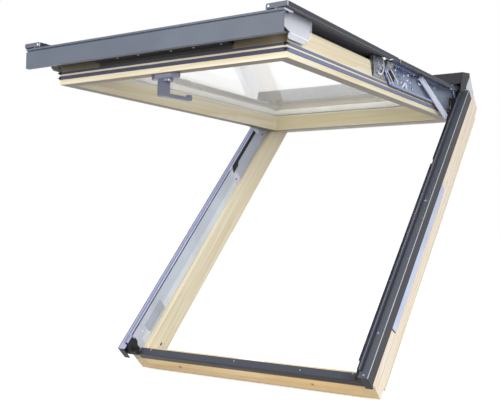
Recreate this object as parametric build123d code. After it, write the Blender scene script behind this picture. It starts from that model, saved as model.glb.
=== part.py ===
from build123d import *
import os

# Roof window that opens about a top hinge and turns about a centre pivot.
# Frame pieces are drawn flat in X (right), S (up the roof) and N (out of the roof),
# sash pieces flat in X, S and V (out from the room side of the sash).
# Both are then set at the roof pitch, with the sash swung open.
# The origin is the middle of the down-slope face of the bottom rail.

# Overall sizes, mm
frame_width = 780.0
frame_height = 1180.0
roof_pitch = 45.0
open_angle = 46.0
sheet = 2.0

# Frame timber, levels along N
wall_top = 16.0
head_level = -2.0
jamb_width = 40.0
jamb_front_width = 22.0
step_level = -39.0
frame_back = -104.0
tongue_depth = 14.0
tongue_inset = 8.0
tongue_side_inset = 2.0
tongue_end_gap = 36.0
rail_top = -32.0
rail_upper_width = 25.0
rail_lower_width = 36.0
rail_lower_top = -66.0
top_rail_width = 46.0
origin_level = -78.0
groove_depth = 2.5
groove_width = 3.0
upper_groove_level = -68.0
lower_groove_level = -93.0
cladding_rebate = 1.0
rebate_margin = 2.0
timber_round = 2.0

# Frame cladding
side_lip_drop = 38.0
side_standoff = 8.0
upstand_setback = 27.0
upstand_rise = 10.0
upstand_start = -6.0
cladding_nose = 22.0
nose_width = 20.0
nose_drop = 45.0
nose_slant = 6.0
cladding_head_gap = 55.0
bottom_cladding_depth = 21.0
bottom_cladding_drop = 20.0
corner_gap = 2.0

# Guide rail on the front wall of each jamb
guide_thickness = 3.0
guide_low = -38.0
guide_high = 28.0
guide_plug_gap = 1.5
guide_head_gap = 105.0
guide_upper_length = 325.0
guide_upper_high = 2.0
guide_notch_slant = 12.0
shoe_start = 78.0
shoe_length = 100.0
shoe_margin = 8.0
shoe_head_margin = 24.0
shoe_thickness = 2.0
slide_bar_gap = 4.0
slide_bar_thickness = 2.5

# Strip along the outside of each jamb
strip_foot_gap = 180.0
strip_head_gap = 446.0
strip_low = -63.0
strip_width = 30.0
strip_thickness = 1.5
strip_slant = 8.0

# Corner plug at each lower inner corner
plug_overhang = 12.0
plug_low = -24.0
plug_high = 13.0
plug_shoulder = -8.0
plug_inner_gap = 16.0
plug_round = 3.0
plug_clear = 1.0
plug_foot_length = 16.0
plug_foot_high = -12.0
plug_tail_length = 24.0
plug_tail_low = -2.0
plug_tail_high = 10.0
plug_top_length = 20.0
plug_top = 28.0
plug_rib_pitch = 3.0
plug_rib_width = 1.0
plug_rib_depth = 0.6
plug_ribs = 4

# Top hinge
hinge_head_gap = 69.0
hinge_rise = 49.0
hinge_ear_radius = 16.0
hinge_root = 12.0
hinge_pin_radius = 5.0
pin_clearance = 0.1
bracket_thickness = 4.0
bracket_gap = 2.0
bracket_half_width = 22.0
bracket_foot_round = 8.0

# Hood over the top rail, set out from the hinge
hood_lip_reach = 14.0
hood_lip_rise = 20.0
hood_lip_return = 3.5
hood_ridge_offset = 20.0
hood_ridge_rise = 38.0
hood_ridge_round = 7.0
hood_ridge_drop = 2.4
hood_rear_set = 2.8
hood_rear_overhang = 16.0
hood_rear_level = 34.0
hood_bend_level = -14.0
hood_foot_level = -36.0
cap_front_reach = 42.0
cap_front_rise = 4.0
cap_low_reach = 8.0
cap_low_drop = 22.0
cap_thickness = 3.0
hood_side_offset = 16.0
hood_side_overhang = 10.0
hood_side_slant = 22.0

# Sash timber, levels along V from the room side
sash_foot_gap = 40.0
sash_head_gap = 54.0
sash_side_gap = 7.0
sash_seat = 22.0
stile_width = 30.0
stile_lip = 16.0
sash_depth = 77.0
lip_thickness = 4.0
groove_one = 14.0
groove_one_end = 23.0
groove_two = 28.0
groove_two_end = 34.0
gasket_groove = 5.0
gasket_proud = 2.0
nose_round_sash = 3.0

# Glass
glass_bead = 3.0
glass_rebate = 5.0
pane_thickness = 4.0
glass_gap = 16.0
spacer_width = 10.0
glass_edge_gap = 2.0

# Sash cladding
cladding_inset = 8.0
cladding_rise = 21.0
cladding_lip = 11.5
cladding_round = 3.0
cladding_setback = 3.0
cladding_front_rise = 8.0
front_cap_width = 38.0
front_cap_depth = 60.0
cover_gap = 5.0
upper_cladding_gap = 46.0
split_gap = 12.0

# Fascia across the front of the sash, its end plates and the vent strip
fascia_reach = 81.0
fascia_rise = 7.0
fascia_gap = 0.5
fascia_height = 51.0
fascia_groove_drop = 5.0
fascia_groove_width = 4.0
fascia_groove_depth = 4.0
fascia_fold_depth = 8.0
fascia_return = 12.0
fascia_slope_end = -4.0
fascia_fold_drop = 3.0
end_plate_gap = 5.5
end_plate_thickness = 1.5
end_plate_start = 14.0
end_plate_end = 82.0
end_plate_lean = 13.0
end_plate_head_gap = 1.0
end_plate_front_drop = 18.0
end_plate_bend_drop = 35.0
end_plate_bend_start = -14.0
end_plate_round = 8.0
end_plate_flange_drop = 12.0
end_plate_flange_reach = 5.0
end_plate_flange_start = -18.0
end_plate_flange_end = 60.0
vent_half_length = 205.0
vent_front_gap = 11.0
vent_drop = 5.0
vent_height = 28.0
vent_slot_pitch = 26.0
vent_slot_length = 12.0
vent_slot_depth = 3.0
vent_slot_width = 6.0
vent_slot_place = 30.0

# Centre pivot on the sash
pivot_rise = 1.0
pivot_pin_radius = 4.0
pivot_boss_radius = 9.0
pivot_neck = 6.0
pivot_notch = 12.0
leaf_thickness = 4.0
leaf_recess = 5.0
leaf_foot = 4.0
leaf_head_gap = 3.0
leaf_front = 94.0
leaf_front_slant = 14.0
leaf_back = 28.0
leaf_margin = 3.0
track_radius = 27.0
track_width = 3.0
track_offset = 59.0
track_drop = 24.0
track_height = 3.0
track_end_reach = 21.5
shell_front = 73.0
shell_width = 24.0
shell_drop = 33.0
shell_height = 6.0
shell_rib = 3.0
shell_ribs = 3

# Hinge arm beside each stile
arm_side_gap = 5.0
arm_thickness = 8.0
arm_plate = 2.5
arm_offset = 17.0
arm_tail = 14.0
arm_tail_drop = 9.0
lobe_reach = 27.0
lobe_drop = 27.0
lobe_width = 14.0
lobe_foot = 12.0
arm_slot_length = 34.0
arm_slot_width = 11.0
arm_slot_place = 4.0
arm_slot_drop = 49.0
arm_slot_tilt = -34.0
arm_end_gap = 40.0
arm_nose_gap = 2.0
arm_nose_depth = 24.0
arm_round = 18.0
flange_depth = 6.0

# Strut from each arm to the guide rail
strut_pin_offset = 222.0
strut_pin_drop = 18.0
strut_length = 252.0
strut_width = 15.0
strut_thickness = 3.0
strut_gap = 1.0
strut_pin_radius = 4.0
strut_lean = 20.7
strut_groove_offset = 3.0
strut_groove_width = 2.0
strut_groove_depth = 0.8

# Handle under the bottom rail
handle_offset = 3.0
handle_edge_gap = 18.0
handle_base_length = 82.0
handle_base_width = 24.0
handle_base_height = 12.0
handle_corner = 8.0
handle_bevel = 2.0
head_length = 42.0
head_width = 26.0
head_thickness = 7.0
neck_width = 20.0
neck_depth = 23.0
neck_length = 26.0
neck_offset = 7.0
lever_reach = 88.0
lever_width = 13.0
lever_thickness = 9.0
lever_tip_rise = 6.0
lever_tip_length = 9.0
lever_round = 6.0
lever_turn = 10.0
tip_hollow_radius = 3.5
handle_clearance = 0.3


# Places and levels that follow from the sizes
half_width = frame_width / 2
side_level = wall_top + sheet
side_outer = half_width + side_standoff + sheet
jamb_inner = half_width - jamb_width
wall_inner = half_width - jamb_front_width
tongue_back = frame_back - tongue_depth
hinge_place = frame_height - hinge_head_gap
hood_rear = frame_height + hood_rear_overhang
rebate_level = rail_top - bottom_cladding_drop - rebate_margin
stile_outer = jamb_inner - sash_side_gap
stile_inner = stile_outer - stile_width
sash_length = frame_height - sash_foot_gap - sash_head_gap
sash_closed_level = step_level - sash_seat
glass_seat = sash_depth - glass_bead - glass_gap - 2 * pane_thickness
glass_line = stile_inner + glass_rebate
rail_glass_line = stile_width - glass_rebate
cladding_outer = half_width - cladding_inset
cladding_inner = glass_line
cladding_top = sash_depth + cladding_rise
fascia_front = -fascia_reach
fascia_top = sash_depth + fascia_rise
fascia_low = fascia_top - fascia_height
fascia_end = fascia_front + end_plate_start
end_plate_bend = fascia_top - end_plate_bend_drop
vent_high = sash_depth - vent_drop
arm_inner = stile_outer + arm_side_gap
arm_outer = arm_inner + arm_thickness
arm_high = cladding_top - sheet
arm_nose_low = arm_high - arm_nose_depth
bracket_inner = arm_outer + bracket_gap
bracket_outer = bracket_inner + bracket_thickness
strut_inner = arm_outer + strut_gap
strut_outer = strut_inner + strut_thickness
end_plate_outer = wall_inner - guide_thickness - end_plate_gap
upstand_inner = side_outer - upstand_setback
plug_inner = wall_inner - plug_inner_gap
plug_wall = wall_inner - guide_thickness
guide_end = frame_height - guide_head_gap
guide_step = guide_end - guide_upper_length
pivot_place = sash_length / 2
pivot_level = cladding_top + pivot_rise
leaf_low = groove_two_end + leaf_foot
leaf_high = cladding_top - sheet - leaf_head_gap
shell_low = leaf_high - shell_drop
arm_low = groove_two
lobe_high = pivot_level - lobe_drop
lobe_low = lobe_high - lobe_width
strut_pin_level = pivot_level - strut_pin_drop
arm_start = pivot_place + arm_offset
arm_end = sash_length - arm_end_gap
arm_nose_end = sash_length - arm_nose_gap
sash_hinge_place = hinge_place - sash_foot_gap
sash_hinge_level = hinge_rise - sash_closed_level
frame_place = Rot(roof_pitch, 0, 0) * Pos(0, 0, -origin_level)
sash_place = frame_place * Pos(0, hinge_place, hinge_rise) * Rot(-open_angle, 0, 0)
sash_place = sash_place * Pos(0, -sash_hinge_place, -sash_hinge_level)


def rounded(points, corners, radius):
    """Flat face through the points, rounded at the listed corners."""
    face = make_face(Polyline(*points, close=True))
    if not corners:
        return face
    chosen = []
    for vertex in face.vertices():
        for a, b in corners:
            if abs(vertex.X - a) < 0.01 and abs(vertex.Y - b) < 0.01:
                chosen.append(vertex)
    return fillet(chosen, radius)


def across(points, low, high, corners=(), radius=0.0):
    """Section in S and N, run along X from low to high."""
    plane = Plane(origin=(low, 0, 0), x_dir=(0, 1, 0), z_dir=(1, 0, 0))
    return extrude(plane * rounded(points, corners, radius), high - low)


def along(points, low, high, corners=(), radius=0.0):
    """Section in X and N, run along S from low to high."""
    plane = Plane(origin=(0, high, 0), x_dir=(1, 0, 0), z_dir=(0, -1, 0))
    return extrude(plane * rounded(points, corners, radius), high - low)


def upright(points, low, high):
    """Outline in X and S, run along N from low to high."""
    return extrude(Plane.XY.offset(low) * make_face(Polyline(*points, close=True)), high - low)


def block(x, s, n):
    """Box between the pairs of values given along X, S and N."""
    size = [high - low for low, high in (x, s, n)]
    centre = [(high + low) / 2 for low, high in (x, s, n)]
    return Pos(*centre) * Box(*size)


def pin(x_low, x_high, s, n, radius):
    """Round bar along X."""
    bar = Cylinder(radius, x_high - x_low, rotation=(0, 90, 0))
    return Pos((x_low + x_high) / 2, s, n) * bar


def both_sides(name, solid, placement):
    """The right-hand piece and its mirror image."""
    left = mirror(solid, about=Plane.YZ)
    return {"right_" + name: placement * solid, "left_" + name: placement * left}


def jamb():
    section = [
        (jamb_inner, frame_back),
        (jamb_inner, step_level),
        (wall_inner, step_level),
        (wall_inner, wall_top),
        (half_width, wall_top),
        (half_width, frame_back),
    ]
    body = along(section, 0, frame_height, [(jamb_inner, step_level)], timber_round)
    tongue_span = (tongue_end_gap, frame_height - tongue_end_gap)
    tongue_outer = half_width - tongue_side_inset
    tongue = block((jamb_inner, tongue_outer), tongue_span, (tongue_back, frame_back))
    body = body + tongue
    for level in (upper_groove_level, lower_groove_level):
        groove = block(
            (half_width - groove_depth, half_width),
            (0, frame_height),
            (level - groove_width / 2, level + groove_width / 2),
        )
        body = body - groove
    hood_seat = block(
        (jamb_inner, half_width),
        (frame_height - cladding_rebate, frame_height),
        (hood_foot_level - rebate_margin, wall_top),
    )
    sill_seat = block((jamb_inner, wall_inner), (0, cladding_rebate), (rebate_level, step_level))
    return body - hood_seat - sill_seat


def bottom_rail():
    section = [
        (cladding_rebate, rail_top),
        (rail_upper_width, rail_top),
        (rail_upper_width, rail_lower_top),
        (rail_lower_width, rail_lower_top),
        (rail_lower_width, tongue_back),
        (tongue_inset, tongue_back),
        (tongue_inset, frame_back),
        (0, frame_back),
        (0, rebate_level),
        (cladding_rebate, rebate_level),
    ]
    soft = [(rail_upper_width, rail_top), (rail_lower_width, rail_lower_top)]
    return across(section, -jamb_inner, jamb_inner, soft, timber_round)


def top_rail():
    low = frame_height - top_rail_width
    seat = frame_height - cladding_rebate
    seat_level = hood_foot_level - rebate_margin
    section = [
        (low, head_level),
        (seat, head_level),
        (seat, seat_level),
        (frame_height, seat_level),
        (frame_height, frame_back),
        (frame_height - tongue_inset, frame_back),
        (frame_height - tongue_inset, tongue_back),
        (low, tongue_back),
    ]
    return across(section, -jamb_inner, jamb_inner, [(low, head_level)], timber_round)


def jamb_cladding():
    low = side_level - side_lip_drop
    high = side_level + upstand_rise
    section = [
        (upstand_inner, high),
        (upstand_inner + sheet, high),
        (upstand_inner + sheet, side_level),
        (side_outer, side_level),
        (side_outer, low),
        (side_outer - sheet, low),
        (side_outer - sheet, wall_top),
        (upstand_inner, wall_top),
    ]
    head = frame_height - cladding_head_gap
    nose = -cladding_nose
    nose_low = side_level - nose_drop
    body = along(section, nose, head)
    end_cap = block((side_outer - nose_width, side_outer), (nose, nose + sheet), (nose_low, side_level))
    gusset_side = [(nose + sheet, nose_low), (nose + sheet + nose_slant, low), (nose + sheet, low)]
    gusset = across(gusset_side, side_outer - sheet, side_outer)
    clipped = block((upstand_inner, upstand_inner + sheet), (nose, upstand_start), (side_level, high))
    return body + end_cap + gusset - clipped


def bottom_cladding():
    back = cladding_rebate
    front = cladding_rebate - sheet
    foot = rail_top - bottom_cladding_drop
    section = [
        (front, rail_top + sheet),
        (bottom_cladding_depth, rail_top + sheet),
        (bottom_cladding_depth, rail_top),
        (back, rail_top),
        (back, foot),
        (front, foot),
    ]
    reach = plug_wall - corner_gap
    return across(section, -reach, reach, [(front, rail_top + sheet)], sheet / 2)


def corner_plug():
    """Moulded corner: a block before the wall, a foot and tail beside it and a sloping ribbed top."""
    front = -plug_overhang
    outer = side_outer - sheet - plug_clear
    top_outer = upstand_inner - plug_clear
    floor = rail_top + sheet
    front_side = [(front, plug_low), (0, plug_low), (0, plug_high), (front, plug_high)]
    body = across(front_side, plug_wall, outer, [(front, plug_low), (front, plug_high)], plug_round)
    shoulder_side = [(front, plug_low), (0, plug_low), (0, plug_shoulder), (front, plug_shoulder)]
    soft = [(front, plug_low), (front, plug_shoulder)]
    body = body + across(shoulder_side, plug_inner, plug_wall, soft, plug_round)
    tail_side = [
        (0, floor),
        (plug_foot_length, floor),
        (plug_foot_length, plug_foot_high),
        (plug_tail_length, plug_tail_low),
        (plug_tail_length, plug_tail_high),
        (plug_top_length, wall_top),
        (0, wall_top),
    ]
    body = body + across(tail_side, plug_wall, wall_inner)
    neck = block((plug_wall, top_outer), (front + plug_round, 0), (plug_high, wall_top))
    slope = [
        (plug_wall, wall_top),
        (top_outer, wall_top),
        (top_outer, plug_top),
        (top_outer - plug_clear, plug_top),
    ]
    top = along(slope, front + plug_round, plug_top_length)
    return body + neck + top - plug_grooves()


def plug_grooves():
    """Fine grooves that run along the front block, on its inner side."""
    grooves = []
    for index in range(plug_ribs):
        level = plug_shoulder + (index + 1) * plug_rib_pitch
        grooves.append(
            block(
                (plug_wall, plug_wall + plug_rib_depth),
                (-plug_overhang, 0),
                (level, level + plug_rib_width),
            )
        )
    return grooves


def guide_rail():
    """Rail over the front wall, cut round the plug, and cut down at its upper end."""
    foot = plug_foot_length + guide_plug_gap
    tail = plug_tail_length + guide_plug_gap
    top = plug_top_length + guide_plug_gap
    outline = [
        (foot, guide_low),
        (guide_end, guide_low),
        (guide_end, guide_upper_high),
        (guide_step + guide_notch_slant, guide_upper_high),
        (guide_step, guide_high),
        (top, guide_high),
        (top, wall_top + guide_plug_gap),
        (tail, plug_tail_high + guide_plug_gap),
        (tail, plug_tail_low - guide_plug_gap),
        (foot, plug_foot_high - guide_plug_gap),
    ]
    body = across(outline, plug_wall, wall_inner)
    return body - shoe_block(plug_wall, wall_inner)


def shoe_block(inner, outer):
    span = (shoe_start, shoe_start + shoe_length)
    levels = (guide_low + shoe_margin, guide_high - shoe_head_margin)
    return block((inner, outer), span, levels)


def guide_shoe():
    return shoe_block(wall_inner - shoe_thickness, wall_inner)


def slide_bar():
    """Bar that carries the upper end of the rail, above its cut-down part."""
    low = guide_upper_high + slide_bar_gap
    start = guide_step + guide_notch_slant
    outline = [
        (start, low),
        (guide_end, low),
        (guide_end, guide_high),
        (start + guide_notch_slant, guide_high),
    ]
    return across(outline, wall_inner - slide_bar_thickness, wall_inner)


def side_strip():
    start = strip_foot_gap
    end = frame_height - strip_head_gap
    high = strip_low + strip_width
    outline = [
        (start, strip_low),
        (end - strip_slant, strip_low),
        (end, high),
        (start - strip_slant, high),
    ]
    return across(outline, half_width, half_width + strip_thickness)


def hood_sheet():
    lip = hinge_place - hood_lip_reach
    lip_level = hinge_rise + hood_lip_rise
    ridge = hinge_place + hood_ridge_offset
    ridge_level = hinge_rise + hood_ridge_rise
    seat = frame_height - cladding_rebate
    section = [
        (lip, lip_level),
        (ridge, ridge_level),
        (hood_rear, hood_rear_level),
        (seat + sheet, hood_bend_level),
        (seat + sheet, hood_foot_level),
        (seat, hood_foot_level),
        (seat, hood_bend_level),
        (hood_rear - hood_rear_set, hood_rear_level - sheet / 2),
        (ridge, ridge_level - hood_ridge_drop),
        (lip + sheet, lip_level - sheet / 2),
        (lip + sheet, lip_level - hood_lip_return),
        (lip, lip_level - hood_lip_return),
    ]
    reach = half_width + sheet - cap_thickness
    soft = [(ridge, ridge_level), (ridge, ridge_level - hood_ridge_drop)]
    return across(section, -reach, reach, soft, hood_ridge_round)


def hood_cap():
    outer = half_width + sheet
    front = (hinge_place - cap_front_reach, hinge_rise + cap_front_rise)
    ridge = (hinge_place + hood_ridge_offset, hinge_rise + hood_ridge_rise)
    rear = (hood_rear, hood_rear_level)
    low = (hinge_place - cap_low_reach, hinge_rise - cap_low_drop)
    outline = [front, ridge, rear, low]
    return across(outline, outer - cap_thickness, outer, [ridge, rear], hood_ridge_round / 2)


def hood_side():
    outer = half_width + sheet
    front = hinge_place + hood_side_offset
    level = hinge_rise - cap_low_drop
    section = [
        (front, level),
        (frame_height + hood_side_overhang, level),
        (frame_height, hood_bend_level),
        (frame_height, hood_foot_level),
        (front + hood_side_slant, hood_foot_level),
    ]
    return across(section, half_width, outer)


def frame_bracket():
    low = hinge_place - bracket_half_width
    high = hinge_place + bracket_half_width
    plate = block((bracket_inner, bracket_outer), (low, high), (wall_top, hinge_rise))
    crown = pin(bracket_inner, bracket_outer, hinge_place, hinge_rise, bracket_half_width)
    crown_room = block(
        (bracket_inner, bracket_outer),
        (low, high),
        (hinge_rise - bracket_half_width, hinge_rise + hinge_ear_radius),
    )
    foot_outline = [(low, step_level), (high, step_level), (high, wall_top), (low, wall_top)]
    soft = [(low, step_level), (high, step_level)]
    foot = across(foot_outline, bracket_inner, wall_inner, soft, bracket_foot_round)
    bore = pin(bracket_inner, bracket_outer, hinge_place, hinge_rise, hinge_pin_radius + pin_clearance)
    return plate + (crown & crown_room) + foot - bore


def timber_section(edge, inward):
    """Sash timber from its outer edge inwards, in one direction or the other."""
    sizes = [
        (stile_width, 0),
        (0, 0),
        (0, groove_one),
        (gasket_groove, groove_one),
        (gasket_groove, groove_one_end),
        (0, groove_one_end),
        (0, groove_two),
        (gasket_groove, groove_two),
        (gasket_groove, groove_two_end),
        (0, groove_two_end),
        (0, sash_depth),
        (stile_width - glass_rebate, sash_depth),
        (stile_width - glass_rebate, glass_seat),
        (stile_width + stile_lip, glass_seat),
        (stile_width + stile_lip, glass_seat - lip_thickness),
    ]
    return [(edge + inward * depth, level) for depth, level in sizes]


def stile():
    section = timber_section(stile_outer, -1)
    soft = [(stile_inner, 0), (stile_outer, 0)]
    body = along(section, 0, sash_length, soft, nose_round_sash)
    recess_outline = [
        (pivot_place - leaf_front - leaf_front_slant, sash_depth),
        (pivot_place - leaf_front, leaf_low),
        (pivot_place + leaf_back + leaf_margin, leaf_low),
        (pivot_place + leaf_back + leaf_margin, sash_depth),
    ]
    recess = across(recess_outline, stile_outer - leaf_recess, stile_outer)
    return body - mitre_wedges() - recess


def mitre_wedges():
    """Everything beyond the 45 degree corner joints of the sash, for a stile."""
    reach = stile_outer + sheet
    far = sash_length
    low = upright([(0, -sheet), (reach, -sheet), (0, stile_outer)], -sheet, sash_depth + sheet)
    high = upright(
        [(0, far + sheet), (reach, far + sheet), (0, far - stile_outer)],
        -sheet,
        sash_depth + sheet,
    )
    return low + high


def sash_rail():
    """Bottom rail of the sash; the top rail is its mirror image."""
    section = timber_section(0, 1)
    soft = [(0, 0), (stile_width, 0)]
    body = across(section, -stile_outer, stile_outer, soft, nose_round_sash)
    triangle = upright(
        [(-stile_outer, 0), (stile_outer, 0), (0, stile_outer)],
        -sheet,
        sash_depth + sheet,
    )
    return body & triangle


def ring(outer_half, outer_low, outer_high, band, low, high):
    """Rectangular ring round the sash opening."""
    body = block((-outer_half, outer_half), (outer_low, outer_high), (low, high))
    hole = block(
        (band - outer_half, outer_half - band),
        (outer_low + band, outer_high - band),
        (low, high),
    )
    return body - hole


def gasket(low, high):
    return ring(
        stile_outer + gasket_proud,
        -gasket_proud,
        sash_length + gasket_proud,
        gasket_proud + gasket_groove,
        low,
        high,
    )


def pane(low):
    edge = rail_glass_line + glass_edge_gap
    return block(
        (edge - stile_outer, stile_outer - edge),
        (edge, sash_length - edge),
        (low, low + pane_thickness),
    )


def spacer():
    edge = rail_glass_line + glass_edge_gap
    low = glass_seat + pane_thickness
    return ring(stile_outer - edge, edge, sash_length - edge, spacer_width, low, low + glass_gap)


def side_cladding(start, end, foot):
    """Folded sheet over a stile and the jamb beside it, with a notch at the pivot."""
    lip = cladding_top - cladding_lip
    section = [
        (cladding_inner, foot),
        (cladding_inner, cladding_top),
        (cladding_outer, cladding_top),
        (cladding_outer, lip),
        (cladding_outer - sheet, lip),
        (cladding_outer - sheet, cladding_top - sheet),
        (cladding_inner + sheet, cladding_top - sheet),
        (cladding_inner + sheet, foot),
    ]
    notch = block(
        (stile_outer - corner_gap, arm_inner + arm_plate + corner_gap),
        (pivot_place - pivot_notch, pivot_place + pivot_notch),
        (cladding_top - sheet, cladding_top),
    )
    soft = [(cladding_outer, cladding_top), (cladding_inner, cladding_top)]
    return along(section, start, end, soft, cladding_round) - notch


def lower_cladding():
    """Side cladding of the sash: its top rises to the front, where a narrower cap closes it."""
    start = fascia_front + cladding_setback
    shoulder = start + front_cap_depth
    end = pivot_place - split_gap / 2
    body = side_cladding(shoulder, end, sash_depth)
    slope = [(start, cladding_top + cladding_front_rise), (end, cladding_top), (start, cladding_top)]
    inner = cladding_outer - front_cap_width
    rise = across(slope, inner, cladding_outer)
    cap_low = fascia_top + fascia_gap
    front = block((inner, cladding_outer), (start, start + sheet), (cap_low, cladding_top))
    top = block((inner, cladding_outer), (start, shoulder), (cladding_top - sheet, cladding_top))
    side = block((cladding_outer - sheet, cladding_outer), (start, shoulder), (cap_low, cladding_top))
    notch = block(
        (inner, arm_inner + arm_plate + corner_gap),
        (pivot_place - pivot_notch, end),
        (cladding_top, cladding_top + cladding_front_rise),
    )
    over_fascia = block(
        (cladding_inner, cladding_inner + sheet),
        (shoulder, rail_glass_line + corner_gap),
        (sash_depth, cap_low),
    )
    return body - over_fascia + rise - notch + front + top + side


def fascia():
    front = fascia_front
    inside = front + sheet
    groove_high = fascia_top - fascia_groove_drop
    groove_low = groove_high - fascia_groove_width
    top = sash_depth + sheet
    section = [
        (front, fascia_low),
        (front, groove_low),
        (front + fascia_groove_depth, groove_low),
        (front + fascia_groove_depth, groove_high),
        (front, groove_high),
        (front, fascia_top),
        (fascia_slope_end, top),
        (rail_glass_line, top),
        (rail_glass_line, sash_depth),
        (fascia_slope_end, sash_depth),
        (front + fascia_fold_depth, fascia_top - fascia_fold_drop),
        (front + fascia_fold_depth, groove_low - sheet),
        (inside, groove_low - sheet),
        (inside, fascia_low + sheet),
        (front + fascia_return, fascia_low + sheet),
        (front + fascia_return, fascia_low),
    ]
    soft = [(front, fascia_low), (front, fascia_top)]
    body = across(section, -cladding_outer, cladding_outer, soft, sheet / 2)
    plate_inner = end_plate_outer - end_plate_thickness
    room = block((plate_inner, cladding_outer), (fascia_end, rail_glass_line), (fascia_low, fascia_top))
    return body - room - mirror(room, about=Plane.YZ)


def end_plate():
    """Plate behind the fascia's end, with a flange along its lower edge bent inwards."""
    t = end_plate_thickness
    inner = end_plate_outer - t
    front_level = fascia_top - end_plate_front_drop
    under_cladding = cladding_top - sheet - end_plate_head_gap
    side_front = fascia_front + cladding_setback + sheet
    foot = (end_plate_end - end_plate_lean, end_plate_bend)
    outline = [
        (fascia_end, fascia_top),
        (fascia_end, front_level),
        (end_plate_bend_start, end_plate_bend),
        foot,
        (end_plate_end, under_cladding),
        (side_front, under_cladding),
        (side_front, fascia_top),
    ]
    body = across(outline, inner, end_plate_outer)
    low = end_plate_bend - end_plate_flange_drop
    flange = [
        (end_plate_outer, end_plate_bend),
        (end_plate_outer - end_plate_flange_reach, low),
        (inner - end_plate_flange_reach, low),
        (inner, end_plate_bend),
    ]
    span = (end_plate_flange_start, end_plate_flange_end)
    edge = along(flange, span[0], span[1])
    side = [(span[0], low), (span[1], low), (span[1], end_plate_bend), (span[0], end_plate_bend)]
    corners = [(span[0], low), (span[1], low)]
    envelope = across(side, inner - end_plate_flange_reach, end_plate_outer, corners, end_plate_round)
    return body + (edge & envelope)


def top_cladding():
    low = sash_length - rail_glass_line
    return block(
        (corner_gap - cladding_inner, cladding_inner - corner_gap),
        (low, sash_length),
        (sash_depth, sash_depth + sheet),
    )


def vent_strip():
    """Vent box between fascia and sash, with a row of slots along its underside."""
    front = fascia_front + vent_front_gap
    low = vent_high - vent_height
    body = block((-vent_half_length, vent_half_length), (front, 0), (low, vent_high))
    count = int(2 * vent_half_length / vent_slot_pitch) - 1
    slot = Box(vent_slot_length, vent_slot_width, vent_slot_depth)
    slot = Pos(0, front + vent_slot_place, low + vent_slot_depth / 2) * slot
    row = [Pos((index - (count - 1) / 2) * vent_slot_pitch, 0, 0) * slot for index in range(count)]
    return body - row


def arm_web():
    web = [
        (arm_start, arm_low),
        (arm_end, arm_low),
        (arm_end, arm_nose_low),
        (arm_nose_end, arm_nose_low),
        (arm_nose_end, arm_high),
        (arm_start, arm_high),
    ]
    soft = [(arm_end, arm_low), (arm_end, arm_nose_low)]
    body = across(web, arm_inner, arm_inner + arm_plate, soft, arm_round)
    tail_high = pivot_level - arm_tail_drop
    tail = [
        (arm_start, arm_low),
        (arm_start, tail_high),
        (pivot_place - arm_tail, tail_high),
        (pivot_place - arm_tail, lobe_high + arm_tail / 2),
        (pivot_place - lobe_reach, lobe_high),
        (pivot_place - lobe_reach, lobe_low),
        (pivot_place + lobe_foot, arm_low),
    ]
    lobe = [(pivot_place - lobe_reach, lobe_high), (pivot_place - lobe_reach, lobe_low)]
    body = body + across(tail, arm_inner, arm_inner + arm_plate, lobe, arm_plate)
    slot = SlotOverall(arm_slot_length, arm_slot_width, rotation=arm_slot_tilt)
    plane = Plane(origin=(arm_inner, 0, 0), x_dir=(0, 1, 0), z_dir=(1, 0, 0))
    slot = Pos(pivot_place + arm_slot_place, pivot_level - arm_slot_drop) * slot
    return body - extrude(plane * slot, arm_plate)


def arm_ear():
    ear = pin(arm_inner, arm_outer, sash_hinge_place, sash_hinge_level, hinge_ear_radius)
    root = block(
        (arm_inner, arm_outer),
        (sash_hinge_place - hinge_root, arm_nose_end),
        (arm_high - flange_depth, sash_hinge_level),
    )
    return ear + root + pin(arm_inner, bracket_outer, sash_hinge_place, sash_hinge_level, hinge_pin_radius)


def hinge_arm():
    body = arm_web()
    low_span = (arm_start, arm_end - arm_round)
    high_span = (arm_start, arm_nose_end)
    low_flange = block((arm_inner, arm_outer), low_span, (arm_low, arm_low + flange_depth))
    high_flange = block((arm_inner, arm_outer), high_span, (arm_high - flange_depth, arm_high))
    body = body + low_flange + high_flange + arm_ear()
    neck = block(
        (arm_inner, arm_inner + arm_plate),
        (pivot_place - pivot_neck, pivot_place + pivot_neck),
        (pivot_level - arm_tail_drop - corner_gap, pivot_level),
    )
    body = body + neck + pin(arm_inner, arm_inner + arm_plate, pivot_place, pivot_level, pivot_boss_radius)
    bore = pin(arm_inner, arm_inner + arm_plate, pivot_place, pivot_level, pivot_pin_radius + pin_clearance)
    stud = pin(arm_inner, strut_outer, pivot_place + strut_pin_offset, strut_pin_level, strut_pin_radius)
    return body - bore + stud


def track():
    """Curved friction track on the leaf, an arc of a flat ring."""
    low = stile_outer + leaf_thickness
    high = low + track_height
    s = pivot_place - track_offset
    v = pivot_level - track_drop
    outer = track_radius + track_width / 2
    band = pin(low, high, s, v, outer) - pin(low, high, s, v, outer - track_width)
    fan = [
        (s, v),
        (s - track_radius, v - 2 * track_radius),
        (s + 2 * track_radius, v - 2 * track_radius),
        (s + 2 * track_radius, pivot_level - track_width),
        (s + track_end_reach, pivot_level - track_width),
    ]
    return band & across(fan, low, high)


def leaf_shell():
    """Ribbed boss between the end of the leaf and the track."""
    front = pivot_place - shell_front
    low = stile_outer + leaf_thickness
    pitch = shell_width / shell_ribs
    height = shell_height - shell_rib / 2
    body = block((low, low + height), (front, front + shell_width), (shell_low, leaf_high))
    for index in range(shell_ribs):
        place = front + (index + 0.5) * pitch
        span = (place - shell_rib / 2, place + shell_rib / 2)
        rib = block((low, low + shell_height), span, (shell_low, leaf_high))
        body = body + rib
    return body


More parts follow.
